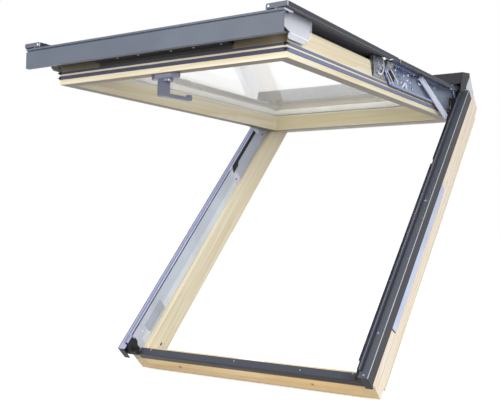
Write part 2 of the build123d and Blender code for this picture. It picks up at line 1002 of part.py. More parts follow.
def pivot_leaf():
    """Plate let into the stile, with the pivot pin, the friction track and a ribbed boss."""
    inner = stile_outer - leaf_recess
    outer = stile_outer + leaf_thickness
    outline = [
        (pivot_place - leaf_front + leaf_margin, leaf_low),
        (pivot_place + leaf_back, leaf_low),
        (pivot_place + leaf_back, leaf_high),
        (pivot_place - leaf_front + leaf_margin - leaf_front_slant / 2, leaf_high),
    ]
    soft = [(pivot_place + leaf_back, leaf_low), (pivot_place + leaf_back, leaf_high)]
    body = across(outline, inner, outer, soft, pivot_neck)
    span = (pivot_place - pivot_neck, pivot_place + pivot_neck)
    neck = block((stile_outer, outer), span, (leaf_high - leaf_margin, pivot_level))
    body = body + neck + pin(stile_outer, outer, pivot_place, pivot_level, pivot_boss_radius)
    body = body + pin(stile_outer, arm_inner + arm_plate, pivot_place, pivot_level, pivot_pin_radius)
    return body + track() + leaf_shell()


def strut():
    """Flat grooved bar hung on the arm, leaning down to the guide rail."""
    half = strut_width / 2
    bar = block((strut_inner, strut_outer), (0, strut_length), (-half, half))
    bar = bar + pin(strut_inner, strut_outer, 0, 0, half)
    bar = bar + pin(strut_inner, strut_outer, strut_length, 0, half)
    bar = bar - pin(strut_inner, strut_outer, 0, 0, strut_pin_radius + pin_clearance)
    for side in (-1, 1):
        middle = side * strut_groove_offset
        groove = block(
            (strut_outer - strut_groove_depth, strut_outer),
            (strut_width, strut_length),
            (middle - strut_groove_width / 2, middle + strut_groove_width / 2),
        )
        bar = bar - groove
    return Pos(0, pivot_place + strut_pin_offset, strut_pin_level) * Rot(-strut_lean, 0, 0) * bar


def handle_base():
    """Long eight-sided rose under the rail."""
    x = handle_base_length / 2
    s = handle_base_width / 2
    cut = handle_corner
    outline = [
        (-x, cut - s),
        (2 * cut - x, -s),
        (x - 2 * cut, -s),
        (x, cut - s),
        (x, s - cut),
        (x - 2 * cut, s),
        (2 * cut - x, s),
        (-x, s - cut),
    ]
    body = upright(outline, -handle_base_height, 0)
    body = chamfer(body.faces().sort_by(Axis.Z)[0].edges(), handle_bevel)
    return Pos(-handle_offset, handle_edge_gap, 0) * body


def handle_lever():
    """Flat head, flat-sided neck and a bar with a hollow turned-up tip."""
    top = -handle_base_height - handle_clearance
    head_shape = Plane.XY.offset(top - head_thickness) * SlotOverall(head_length, head_width)
    head = extrude(head_shape, head_thickness)
    front = -neck_depth / 2
    back = neck_depth / 2
    low = top - head_thickness - neck_length
    foot = low - lever_thickness
    side = [
        (front, top - head_thickness / 2),
        (back, top - head_thickness / 2),
        (back, low),
        (back, foot),
        (front, foot),
    ]
    neck = across(side, -neck_width, 0, [(front, foot)], lever_round)
    half = lever_width / 2
    end = lever_reach
    bar_side = [
        (0, low),
        (end - lever_tip_length, low),
        (end - lever_tip_length, low + lever_tip_rise),
        (end, low + lever_tip_rise),
        (end, foot),
        (0, foot),
    ]
    bar = across(bar_side, -half - neck_offset, half - neck_offset, [(end, foot)], lever_round)
    hollow_place = Pos(-neck_offset, end - lever_tip_length / 2, low + lever_tip_rise)
    hollow = hollow_place * Sphere(tip_hollow_radius)
    lever = head + Pos(neck_width / 2 - neck_offset, 0, 0) * neck + bar - hollow
    return Pos(-handle_offset, handle_edge_gap, 0) * Rot(0, 0, -lever_turn) * lever


def frame_pieces():
    pieces = {
        "frame_bottom_rail": frame_place * bottom_rail(),
        "frame_top_rail": frame_place * top_rail(),
        "frame_bottom_cladding": frame_place * bottom_cladding(),
        "top_hood": frame_place * hood_sheet(),
    }
    pieces.update(both_sides("jamb", jamb(), frame_place))
    pieces.update(both_sides("jamb_cladding", jamb_cladding(), frame_place))
    pieces.update(both_sides("corner_plug", corner_plug(), frame_place))
    pieces.update(both_sides("guide_rail", guide_rail(), frame_place))
    pieces.update(both_sides("guide_shoe", guide_shoe(), frame_place))
    pieces.update(both_sides("slide_bar", slide_bar(), frame_place))
    pieces.update(both_sides("side_strip", side_strip(), frame_place))
    pieces.update(both_sides("hood_cap", hood_cap(), frame_place))
    pieces.update(both_sides("hood_side", hood_side(), frame_place))
    pieces.update(both_sides("frame_bracket", frame_bracket(), frame_place))
    return pieces


def arm_pieces():
    pieces = both_sides("hinge_arm", hinge_arm(), sash_place)
    start = pivot_place + split_gap / 2
    upper = side_cladding(start, sash_length - upper_cladding_gap, sash_depth + sheet + cover_gap)
    pieces.update(both_sides("upper_cladding", upper, sash_place))
    pieces.update(both_sides("strut", strut(), sash_place))
    return pieces


def sash_pieces():
    low_rail = sash_rail()
    high_rail = Pos(0, sash_length, 0) * mirror(low_rail, about=Plane.XZ)
    pieces = {
        "sash_bottom_rail": sash_place * low_rail,
        "sash_top_rail": sash_place * high_rail,
        "sash_room_gasket": sash_place * gasket(groove_one, groove_one_end),
        "sash_outer_gasket": sash_place * gasket(groove_two, groove_two_end),
        "inner_pane": sash_place * pane(glass_seat),
        "outer_pane": sash_place * pane(glass_seat + pane_thickness + glass_gap),
        "pane_spacer": sash_place * spacer(),
        "sash_fascia": sash_place * fascia(),
        "sash_top_cladding": sash_place * top_cladding(),
        "vent_strip": sash_place * vent_strip(),
        "handle_base": sash_place * handle_base(),
        "handle_lever": sash_place * handle_lever(),
    }
    pieces.update(both_sides("sash_stile", stile(), sash_place))
    pieces.update(both_sides("lower_cladding", lower_cladding(), sash_place))
    pieces.update(both_sides("end_plate", end_plate(), sash_place))
    pieces.update(both_sides("pivot_leaf", pivot_leaf(), sash_place))
    return pieces


def main():
    os.makedirs("parts", exist_ok=True)
    pieces = {}
    pieces.update(frame_pieces())
    pieces.update(arm_pieces())
    pieces.update(sash_pieces())
    for name, solid in pieces.items():
        export_step(solid, "parts/" + name + ".step")


main()
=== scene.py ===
import math

import bmesh
import bpy
from mathutils import Matrix, Vector


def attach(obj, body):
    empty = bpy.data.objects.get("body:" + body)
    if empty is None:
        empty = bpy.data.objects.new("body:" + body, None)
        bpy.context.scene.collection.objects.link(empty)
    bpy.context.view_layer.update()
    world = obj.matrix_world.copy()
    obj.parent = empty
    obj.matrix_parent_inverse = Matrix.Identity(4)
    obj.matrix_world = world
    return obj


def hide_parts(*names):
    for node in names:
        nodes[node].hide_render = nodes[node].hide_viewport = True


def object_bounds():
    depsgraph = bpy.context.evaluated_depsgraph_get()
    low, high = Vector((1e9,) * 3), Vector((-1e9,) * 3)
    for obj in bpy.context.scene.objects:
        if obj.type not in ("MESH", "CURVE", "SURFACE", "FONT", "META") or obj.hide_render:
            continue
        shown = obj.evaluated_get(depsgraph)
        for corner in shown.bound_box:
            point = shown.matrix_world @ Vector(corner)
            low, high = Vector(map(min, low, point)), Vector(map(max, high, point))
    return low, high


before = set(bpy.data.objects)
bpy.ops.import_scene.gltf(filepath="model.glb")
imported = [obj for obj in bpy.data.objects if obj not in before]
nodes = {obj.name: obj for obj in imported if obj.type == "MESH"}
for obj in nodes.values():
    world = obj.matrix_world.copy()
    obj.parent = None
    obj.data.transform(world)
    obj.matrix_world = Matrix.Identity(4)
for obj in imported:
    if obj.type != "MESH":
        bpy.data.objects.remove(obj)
cad_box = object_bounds()

# Placing: frame points are (x, up the roof, out of the roof), sash points (x, up the sash,
# out of the sash), in millimetres, as in the part's source. The row frame is in metres.
PITCH = math.radians(45.0)
OPEN = math.radians(46.0)
ORIGIN_LEVEL = -78.0
HINGE = (1111.0, 49.0)
SASH_SHIFT = (40.0, -61.0)
MILLIMETRES = 1000


def from_frame(p):
    x, s, n = p
    n = n - ORIGIN_LEVEL
    c, k = math.cos(PITCH), math.sin(PITCH)
    return Vector((x, s * c - n * k, s * k + n * c)) / MILLIMETRES


def from_sash(p):
    x, s, v = p
    ds = s + SASH_SHIFT[0] - HINGE[0]
    dv = v + SASH_SHIFT[1] - HINGE[1]
    c, k = math.cos(OPEN), -math.sin(OPEN)
    return from_frame((x, HINGE[0] + ds * c - dv * k, HINGE[1] + ds * k + dv * c))


def direction_of(place, step):
    a, b = place((0.0, 0.0, 0.0)), place(step)
    return tuple((b - a).normalized())


def between(a, b):
    return tuple((Vector(a) + Vector(b)).normalized())


OUT_OF_ROOF = direction_of(from_frame, (0, 0, 1))
DOWN_ROOF = direction_of(from_frame, (0, -1, 0))
UP_ROOF = direction_of(from_frame, (0, 1, 0))
ROOMWARD = direction_of(from_sash, (0, 0, -1))
OUTWARD = direction_of(from_sash, (0, 0, 1))
SASH_FRONT = direction_of(from_sash, (0, -1, 0))
SASH_BACK = direction_of(from_sash, (0, 1, 0))
RIGHTWARD = (1.0, 0.0, 0.0)
LEFTWARD = (-1.0, 0.0, 0.0)
FOLD_EDGE = between(RIGHTWARD, OUT_OF_ROOF)
FOLD_FRONT = between(RIGHTWARD, SASH_FRONT)
FOLD_LOW = between(RIGHTWARD, ROOMWARD)
ROOF_LEVEL = from_frame((0, 0, 0)).dot(Vector(OUT_OF_ROOF))
SASH_LEVEL = from_sash((0, 0, 0)).dot(Vector(OUTWARD))
SASH_START = from_sash((0, 0, 0)).dot(Vector(SASH_BACK))


# Shader nodes
def new_material(name):
    m = bpy.data.materials.new(name)
    m.use_nodes = True
    tree = m.node_tree
    return m, tree, tree.nodes["Principled BSDF"]


def node(tree, kind, **settings):
    n = tree.nodes.new("ShaderNode" + kind)
    for key, value in settings.items():
        setattr(n, key, value)
    return n


def feed(tree, socket, value):
    """Link a socket, or set its constant: a number or a colour."""
    if isinstance(value, bpy.types.NodeSocket):
        tree.links.new(value, socket)
    elif isinstance(value, (int, float)):
        socket.default_value = value
    else:
        socket.default_value = (*value, 1.0)


def coordinates(tree, scale=(1.0, 1.0, 1.0), rotation=(0.0, 0.0, 0.0), offset=(0.0, 0.0, 0.0)):
    """Object coordinates, turned and then stretched."""
    where = node(tree, "TexCoord")
    turn = node(tree, "Mapping")
    turn.inputs["Rotation"].default_value = rotation
    turn.inputs["Location"].default_value = offset
    stretch = node(tree, "Mapping")
    stretch.inputs["Scale"].default_value = scale
    tree.links.new(where.outputs["Object"], turn.inputs["Vector"])
    tree.links.new(turn.outputs["Vector"], stretch.inputs["Vector"])
    return stretch.outputs["Vector"]


def ramp(tree, source, stops):
    r = node(tree, "ValToRGB")
    elements = r.color_ramp.elements
    while len(elements) < len(stops):
        elements.new(0.5)
    for element, (position, colour) in zip(elements, stops):
        element.position = position
        element.color = (*colour, 1.0)
    tree.links.new(source, r.inputs["Fac"])
    return r.outputs["Color"]


def mix(tree, factor, a, b):
    m = node(tree, "Mix", data_type="RGBA")
    # The colour sockets of the Mix node are its seventh and eighth inputs
    for socket, value in ((m.inputs[0], factor), (m.inputs[6], a), (m.inputs[7], b)):
        feed(tree, socket, value)
    return m.outputs[2]


def noise(tree, vector, scale, detail=3.0, roughness=0.5, distortion=0.0):
    n = node(tree, "TexNoise")
    n.inputs["Scale"].default_value = scale
    n.inputs["Detail"].default_value = detail
    n.inputs["Roughness"].default_value = roughness
    n.inputs["Distortion"].default_value = distortion
    tree.links.new(vector, n.inputs["Vector"])
    return n.outputs["Fac"]


def spread(tree, value, low, high, to_low=0.0, to_high=1.0):
    m = node(tree, "MapRange")
    for index, number in enumerate((low, high, to_low, to_high), start=1):
        m.inputs[index].default_value = number
    tree.links.new(value, m.inputs[0])
    return m.outputs[0]


def bump(tree, shader, height, strength, distance=0.0004):
    b = node(tree, "Bump")
    b.inputs["Strength"].default_value = strength
    b.inputs["Distance"].default_value = distance
    tree.links.new(height, b.inputs["Height"])
    tree.links.new(b.outputs["Normal"], shader.inputs["Normal"])


def combined(tree, operation, a, b):
    m = node(tree, "Math", operation=operation)
    feed(tree, m.inputs[0], a)
    feed(tree, m.inputs[1], b)
    return m.outputs[0]


def times(tree, a, b):
    return combined(tree, "MULTIPLY", a, b)


def max_of(tree, a, b):
    return combined(tree, "MAXIMUM", a, b)


def along(tree, output, direction):
    """How far a texture coordinate, the place or the normal, reaches along a direction."""
    where = node(tree, "TexCoord")
    dot = node(tree, "VectorMath", operation="DOT_PRODUCT")
    dot.inputs[1].default_value = direction
    tree.links.new(where.outputs[output], dot.inputs[0])
    return dot.outputs["Value"]


# Shares: nought to one over a piece, by place or by the way that a face looks
def off_side(tree, low, high):
    """By the distance from the middle, in metres, the same on both sides."""
    where = node(tree, "TexCoord")
    apart = node(tree, "SeparateXYZ")
    tree.links.new(where.outputs["Object"], apart.inputs[0])
    size = node(tree, "Math", operation="ABSOLUTE")
    tree.links.new(apart.outputs["X"], size.inputs[0])
    return spread(tree, size.outputs[0], low, high)


def facing(tree, direction, low=0.8, high=0.95):
    """By how far a face looks along a direction."""
    return spread(tree, along(tree, "Normal", direction), low, high)


def level_along(tree, direction, low, high):
    """By how far a point lies along a direction, in metres."""
    return spread(tree, along(tree, "Object", direction), low, high)


def sash_level(tree, low, high):
    """By the level out of the sash."""
    return level_along(tree, OUTWARD, SASH_LEVEL + low, SASH_LEVEL + high)


def sash_reach(tree, low, high):
    """By the place up the sash."""
    return level_along(tree, SASH_BACK, SASH_START + low, SASH_START + high)


def above_lip(tree):
    """Above the lip that carries the panes."""
    return sash_level(tree, 0.0445, 0.0455)


def above_pane(tree):
    """The rebate round the panes, which the light through them reaches; a near-white tone is
    painted there as light.
    """
    return sash_level(tree, 0.0535, 0.0545)


def at_far_end(tree):
    return sash_reach(tree, 0.9, 1.0)


# The lip under the panes lies in shade; a paler tone is painted on it as light.
def lip_of_stile(tree):
    return times(tree, off_side(tree, 0.3135, 0.3125), above_lip(tree))


def lip_of_rail(tree):
    near = times(tree, sash_reach(tree, 0.0295, 0.0305), sash_reach(tree, 0.2, 0.1))
    far = times(tree, sash_reach(tree, 1.0565, 1.0555), at_far_end(tree))
    return times(tree, max_of(tree, near, far), above_lip(tree))


def under_fascia(tree):
    """The front of the bottom rail, in the shade of the fascia."""
    front = times(tree, facing(tree, SASH_FRONT), sash_reach(tree, 0.020, 0.010))
    return times(tree, times(tree, front, sash_level(tree, 0.030, 0.036)), 0.88)


# The front of the bottom rail behind the vent strip, where the fascia's shade is painted near
# black.
def shade_behind_vent(tree):
    return times(tree, under_fascia(tree), off_side(tree, 0.208, 0.200))


def rebate_of_stile(tree):
    return times(tree, above_pane(tree), off_side(tree, 0.330, 0.329))


def rebate_of_rail(tree):
    front = times(tree, above_pane(tree), facing(tree, SASH_FRONT))
    return times(tree, front, at_far_end(tree))


def shaded_far_face(tree):
    """The face of the top rail that looks to the opening, where an olive tone is painted as shade.
    """
    return times(tree, times(tree, facing(tree, SASH_FRONT), at_far_end(tree)), 0.5)


# The sash's faces that look to the room, near its room side, where a dark brown is painted as
# shade.
def shaded_room_side(tree):
    low = sash_level(tree, 0.012, 0.006)
    return times(tree, times(tree, facing(tree, ROOMWARD), low), 0.94)


def smooth_end(tree):
    """The part of the arm past its speckled plate."""
    return sash_reach(tree, 0.712, 0.722)


def bright_end(tree):
    """The arm's last part, by the hinge."""
    return times(tree, sash_reach(tree, 0.94, 1.04), 0.8)


def arm_flange(tree):
    return off_side(tree, 0.3512, 0.3522)


def upper_guide(tree):
    """The guide from its clip up to the head."""
    return times(tree, level_along(tree, UP_ROOF, 0.772, 0.778), 0.6)


def guide_edge(tree):
    """The outer edge of the guide, but for its head end."""
    edge = level_along(tree, OUT_OF_ROOF, ROOF_LEVEL + 0.0255, ROOF_LEVEL + 0.0265)
    return times(tree, edge, level_along(tree, UP_ROOF, 0.95, 0.90))


def outer_edge(tree):
    """The folded edge of the jamb cladding, away from the window."""
    return off_side(tree, 0.3970, 0.3978)


def foot_end(tree):
    return facing(tree, DOWN_ROOF, 0.9, 0.98)


# Materials
GRAIN_ALONG_X = (0.0, math.radians(90.0), 0.0)
GRAIN_UP_ROOF = (math.radians(45.0), 0.0, 0.0)
GRAIN_ALONG_SASH = (math.radians(91.0), 0.0, 0.0)
KNOT = (0.30, 0.15, 0.055)
JAMB_SIDE = (0.3885, 0.3895)


def scaled(colour, factor):
    return tuple(c * factor for c in colour)


def with_knots(tree, colour, knots):
    """Round knots, each a middle in metres and a radius."""
    for x, y, z, radius in knots:
        where = node(tree, "TexCoord")
        away = node(tree, "VectorMath", operation="SUBTRACT")
        away.inputs[1].default_value = (x, y, z)
        tree.links.new(where.outputs["Object"], away.inputs[0])
        length = node(tree, "VectorMath", operation="LENGTH")
        tree.links.new(away.outputs[0], length.inputs[0])
        inside = spread(tree, length.outputs["Value"], radius, radius * 0.45)
        colour = mix(tree, inside, colour, KNOT)
    return colour


def pine(name, turn, offset, pale, deep, knots=(), outside=None, touches=()):
    """Lacquered pine: growth bands and fibres stretched along the grain, and a few knots."""
    m, tree, shader = new_material(name)
    wide = coordinates(tree, (1.0, 1.0, 0.035), turn, offset)
    fine = coordinates(tree, (1.0, 1.0, 0.012), turn, offset)
    bands = noise(tree, wide, 55.0, 2.0, 0.45, 0.8)
    wave = node(
        tree, "TexWave", wave_type="BANDS", bands_direction="DIAGONAL", wave_profile="SAW"
    )
    wave.inputs["Scale"].default_value = 30.0
    wave.inputs["Distortion"].default_value = 7.0
    wave.inputs["Detail"].default_value = 2.0
    wave.inputs["Detail Scale"].default_value = 1.4
    tree.links.new(wide, wave.inputs["Vector"])
    fibres = noise(tree, fine, 900.0, 3.0, 0.6)
    rings = spread(tree, wave.outputs["Fac"], 0.35, 1.0, 0.0, 0.55)
    ring_colour = tuple(c * k for c, k in zip(deep, (0.93, 0.84, 0.66)))
    ringed = mix(tree, rings, ramp(tree, bands, [(0.30, deep), (0.62, pale)]), ring_colour)
    colour = mix(tree, spread(tree, fibres, 0.3, 0.75, 0.0, 0.22), ringed, scaled(deep, 0.72))
    colour = with_knots(tree, colour, knots)
    if outside:
        weathered = mix(tree, rings, outside[0], outside[1])
        worn = spread(tree, fibres, 0.3, 0.75, 0.0, 0.35)
        weathered = mix(tree, worn, weathered, outside[2])
        colour = mix(tree, off_side(tree, *JAMB_SIDE), colour, weathered)
    # Other tones by share: the end grain, and painted light and shade on the sash and the head
    # rail.
    for share, other in touches:
        colour = mix(tree, share(tree), colour, other)
    tree.links.new(colour, shader.inputs["Base Color"])
    tree.links.new(spread(tree, fibres, 0.2, 0.8, 0.42, 0.58), shader.inputs["Roughness"])
    shader.inputs["Coat Weight"].default_value = 0.15
    shader.inputs["Coat Roughness"].default_value = 0.35
    bump(tree, shader, fibres, 0.10, 0.0006)
    return m


def cladding(name, colour, rough=0.42, metal=0.0, shine=0.5, faces=(), touches=()):
    """Coated sheet: even satin with a faint drawn texture, and painted light and shade as tones on
    faces that look some ways.
    """
    m, tree, shader = new_material(name)
    cloud = noise(tree, coordinates(tree), 9.0, 2.0)
    drawn = noise(tree, coordinates(tree, (0.04, 1.0, 1.0)), 700.0, 2.0)
    tone = ramp(tree, cloud, [(0.3, scaled(colour, 0.90)), (0.7, scaled(colour, 1.08))])
    # Painted light and shade: a lighter or darker tone by the way that a face looks.
    for direction, other in faces:
        tone = mix(tree, facing(tree, direction, 0.80, 0.92), tone, other)
    for share, other in touches:
        tone = mix(tree, share(tree), tone, other)
    tree.links.new(tone, shader.inputs["Base Color"])
    roughness = spread(tree, drawn, 0.2, 0.8, rough - 0.05, rough + 0.06)
    tree.links.new(roughness, shader.inputs["Roughness"])
    shader.inputs["Metallic"].default_value = metal
    shader.inputs["Specular IOR Level"].default_value = shine
    bump(tree, shader, drawn, 0.05)
    return m


def galvanised(name, dark_tone, light_tone, rough, touches=()):
    """Zinc-plated steel: bluish patches with dark veins, and fine scratches."""
    m, tree, shader = new_material(name)
    where = coordinates(tree)
    cloud = noise(tree, where, 95.0, 3.0, 0.6, 1.2)
    patches = noise(tree, where, 34.0, 2.0, 0.5, 0.6)
    middle = tuple((a + b) / 2 for a, b in zip(dark_tone, light_tone))
    body = ramp(tree, cloud, [(0.36, dark_tone), (0.50, middle), (0.64, light_tone)])
    colour = mix(tree, spread(tree, patches, 0.50, 0.68), body, light_tone)
    for share, other in touches:
        colour = mix(tree, share(tree), colour, other)
    tree.links.new(colour, shader.inputs["Base Color"])
    shader.inputs["Metallic"].default_value = 0.8
    roughness = spread(tree, cloud, 0.3, 0.7, rough + 0.12, rough - 0.04)
    tree.links.new(roughness, shader.inputs["Roughness"])
    scratch = noise(tree, coordinates(tree, (1.0, 0.05, 1.0)), 500.0, 2.0)
    bump(tree, shader, scratch, 0.06)
    return m


def soft_black(name, colour, rough):
    """Rubber or moulded plastic with a fine matte grain."""
    m, tree, shader = new_material(name)
    speck = noise(tree, coordinates(tree), 1400.0, 2.0)
    cloud = noise(tree, coordinates(tree), 14.0, 2.0)
    tone = ramp(tree, cloud, [(0.3, scaled(colour, 0.85)), (0.7, scaled(colour, 1.15))])
    tree.links.new(tone, shader.inputs["Base Color"])
    shader.inputs["Roughness"].default_value = rough
    shader.inputs["Specular IOR Level"].default_value = 0.2
    bump(tree, shader, speck, 0.12)
    return m


def glass_material(name):
    """Clear glass. Its low alpha lets the light through to the rebate and the room side."""
    m, tree, shader = new_material(name)
    haze = noise(tree, coordinates(tree), 5.0, 2.0)
    tree.links.new(spread(tree, haze, 0.3, 0.7, 0.0, 0.03), shader.inputs["Roughness"])
    shader.inputs["Base Color"].default_value = (0.985, 0.997, 0.993, 1.0)
    shader.inputs["Transmission Weight"].default_value = 1.0
    shader.inputs["IOR"].default_value = 1.45
    shader.inputs["Alpha"].default_value = 0.2
    return m


# Tones of the timber; lip, rebate and head front are painted light, olive, underside, shade and
# vent painted shade
PALE = (0.88, 0.82, 0.64)
DEEP = (0.79, 0.69, 0.48)
GOLD_PALE = (0.92, 0.72, 0.42)
GOLD = (0.80, 0.55, 0.26)
# Painted light: a paler tone for the lip under the panes.
LIP_PAINTED_LIGHT = (0.80, 0.77, 0.70)
# Painted light: a near-white tone on the rebate round the panes.
REBATE_PAINTED_LIGHT = (0.95, 0.92, 0.84)
# Painted light: a pale cream on the head rail's front, which lies in the shade of the hood.
HEAD_FRONT_PAINTED_LIGHT = (0.95, 0.92, 0.83)
SHADE = (0.10, 0.07, 0.035)
# Painted shade: near black on the rail's front behind the vent strip.
VENT_SHADE = (0.012, 0.011, 0.010)
# Painted shade: olive on the top rail's face that looks to the opening.
OLIVE_SHADE = (0.50, 0.44, 0.22)
# Painted shade: dark brown on the sash's faces that look to the room.
UNDERSIDE_SHADE = (0.13, 0.095, 0.045)
END_GRAIN = (0.74, 0.55, 0.29)
WEATHERED = ((0.93, 0.86, 0.74), (0.80, 0.55, 0.32), (0.74, 0.53, 0.34))
KNOTS = [
    (*from_frame((-231.0, 0.0, -76.0)), 0.007),
    (*from_frame((207.0, 0.0, -75.0)), 0.006),
]
STILE_TOUCHES = ((lip_of_stile, LIP_PAINTED_LIGHT), (rebate_of_stile, REBATE_PAINTED_LIGHT), (shaded_room_side, UNDERSIDE_SHADE))
RAIL_TOUCHES = (
    (lip_of_rail, LIP_PAINTED_LIGHT),
    (shaded_far_face, OLIVE_SHADE),
    (rebate_of_rail, REBATE_PAINTED_LIGHT),
    (shaded_room_side, UNDERSIDE_SHADE),
    (under_fascia, SHADE),
    (shade_behind_vent, VENT_SHADE),
)

pine_jamb = pine(
    "pine_up_the_roof", GRAIN_UP_ROOF, (0.31, 0.12, 0.0), PALE, DEEP,
    outside=WEATHERED, touches=((foot_end, END_GRAIN),),
)
pine_sash = pine(
    "pine_along_the_sash", GRAIN_ALONG_SASH, (0.52, 0.27, 0.1), PALE, DEEP,
    touches=STILE_TOUCHES,
)
pine_cross = pine(
    "pine_across", GRAIN_ALONG_X, (0.11, 0.43, 0.2), PALE, DEEP, touches=RAIL_TOUCHES
)
# The head rail's pine, with its front painted pale as light on a face in the hood's shade.
pine_head = pine(
    "pine_head_rail", GRAIN_ALONG_X, (0.21, 0.13, 0.5), PALE, DEEP,
    touches=((foot_end, HEAD_FRONT_PAINTED_LIGHT),),
)
pine_gold = pine(
    "pine_bottom_rail", GRAIN_ALONG_X, (0.71, 0.33, 0.4), GOLD_PALE, GOLD, knots=KNOTS
)

# Tones of coated sheet and fittings; those by the way that a face looks are painted light and shade
# Painted light on the right jamb cladding: a lighter top, and a painted highlight on its fold.
JAMB_RIGHT_LIGHT_AND_SHADE = ((OUT_OF_ROOF, (0.085, 0.095, 0.115)), (FOLD_EDGE, (0.55, 0.55, 0.62)))
# Painted reflection: lilac on the top of the left jamb cladding; its outer strip stays near black.
JAMB_LEFT_REFLECTION = ((OUT_OF_ROOF, (0.40, 0.42, 0.60)),)
JAMB_LEFT_TOUCHES = ((outer_edge, (0.015, 0.015, 0.02)),)
# Painted light and shade on the sash cladding: lighter where it looks to the room or the front,
# with painted highlights on its lower and front folds.
SASH_LIGHT_AND_SHADE = (
    (RIGHTWARD, (0.040, 0.042, 0.056)),
    (ROOMWARD, (0.19, 0.19, 0.22)),
    (SASH_FRONT, (0.12, 0.13, 0.16)),
    (FOLD_LOW, (0.22, 0.22, 0.26)),
    (FOLD_FRONT, (0.62, 0.63, 0.72)),
)
# Painted light: a lighter top on the bottom rail's cladding.
SILL_TOP_LIGHT = ((OUT_OF_ROOF, (0.06, 0.066, 0.086)),)
# Painted light on the seals: much lighter where they look right, a little lighter where they look
# to the front.
RUBBER_LIGHT_AND_SHADE = ((RIGHTWARD, (0.17, 0.20, 0.33)), (SASH_FRONT, (0.065, 0.07, 0.115)))
# Painted light and shade on the handle: dark where it looks left, a painted highlight on the faces
# that look out of the sash.
HANDLE_LIGHT_AND_SHADE = (
    (LEFTWARD, (0.018, 0.02, 0.03)),
    (SASH_FRONT, (0.10, 0.11, 0.16)),
    (ROOMWARD, (0.14, 0.15, 0.21)),
    (OUTWARD, (0.62, 0.63, 0.74)),
)
# Painted light: a lighter face on the bearing block, where it looks out of the sash.
BLOCK_OUTWARD_LIGHT = ((OUTWARD, (0.65, 0.63, 0.50)),)
GUIDE_TOUCHES = ((upper_guide, (0.34, 0.36, 0.45)), (guide_edge, (0.02, 0.02, 0.035)))
ARM_TOUCHES = (
    (smooth_end, (0.22, 0.27, 0.36)),
    (bright_end, (0.55, 0.62, 0.78)),
    (arm_flange, (0.30, 0.35, 0.50)),
)
ZINC_VEIN = (0.030, 0.038, 0.095)

dark = cladding("dark_cladding", (0.040, 0.042, 0.052), 0.46, shine=0.15)
# Right jamb cladding, with painted light on its top and a painted highlight on its fold.
jamb_paint_right = cladding(
    "jamb_cladding_right", (0.040, 0.040, 0.045), 0.40, shine=0.12, faces=JAMB_RIGHT_LIGHT_AND_SHADE
)
# Left jamb cladding: the same dark paint, with a painted lilac reflection on its top.
jamb_paint_left = cladding(
    "jamb_cladding_left", (0.04, 0.04, 0.045), 0.40, shine=0.15,
    faces=JAMB_LEFT_REFLECTION, touches=JAMB_LEFT_TOUCHES,
)
# Sash cladding: the dark paint, with painted light and shade by the way that a face looks.
sash_paint = cladding("sash_cladding", (0.042, 0.045, 0.058), shine=0.15, faces=SASH_LIGHT_AND_SHADE)
dark_front = cladding("front_cladding", (0.092, 0.110, 0.146), 0.40, shine=0.35)
sill_paint = cladding(
    "sill_cladding", (0.018, 0.018, 0.022), 0.40, shine=0.2, faces=SILL_TOP_LIGHT
)
plate_paint = cladding("folded_plate", (0.62, 0.64, 0.72), 0.36, 0.25)
aluminium = cladding(
    "mill_aluminium", (0.54, 0.59, 0.67), 0.40, 0.2, touches=GUIDE_TOUCHES
)
guide_pale = cladding("guide_flange", (0.66, 0.71, 0.78), 0.40, 0.2)
screw_grey = cladding("screw_head", (0.40, 0.42, 0.50), 0.36, 0.4)
pale_clip = cladding("clip_metal", (0.60, 0.60, 0.72), 0.34, 0.2)
roll_navy = cladding("roll_navy", (0.020, 0.022, 0.036), 0.34)
# Painted light: the left roll is lilac where the right one is navy.
roll_painted_light = cladding("roll_painted_light", (0.42, 0.45, 0.64), 0.38)
# Painted highlight: the fine line on the crown of each roll.
roll_crown_highlight = cladding("roll_crown_highlight", (0.13, 0.14, 0.18), 0.36)
bright_metal = cladding("bright_metal", (0.86, 0.87, 0.93), 0.30, 0.1)
beige_block = cladding(
    "beige_block", (0.42, 0.41, 0.33), 0.5, shine=0.4, faces=BLOCK_OUTWARD_LIGHT
)
blue_strip = cladding("strip_metal", (0.52, 0.60, 0.80), 0.34, 0.3)
spacer_grey = cladding("spacer_bar", (0.78, 0.77, 0.73), 0.5, 0.1)
rubber = cladding("blue_rubber", (0.016, 0.018, 0.030), 0.5, shine=0.3, faces=RUBBER_LIGHT_AND_SHADE)
silver = cladding(
    "handle_silver", (0.17, 0.18, 0.24), 0.30, 0.2, 0.6, faces=HANDLE_LIGHT_AND_SHADE
)
shoe_grey = cladding("shoe_steel", (0.40, 0.43, 0.50), 0.38, 0.4)
strut_metal = cladding("strut_steel", (0.66, 0.70, 0.88), 0.32, 0.15)
zinc = galvanised("zinc_plate", ZINC_VEIN, (0.40, 0.46, 0.66), 0.30)
arm_zinc = galvanised("arm_zinc", ZINC_VEIN, (0.36, 0.42, 0.62), 0.34, ARM_TOUCHES)
leaf_grey = galvanised("leaf_steel", (0.14, 0.15, 0.17), (0.40, 0.42, 0.46), 0.34)
plastic = soft_black("black_plastic", (0.018, 0.018, 0.021), 0.5)
seal_black = soft_black("black_seal", (0.012, 0.012, 0.014), 0.55)
clear = glass_material("clear_glass")


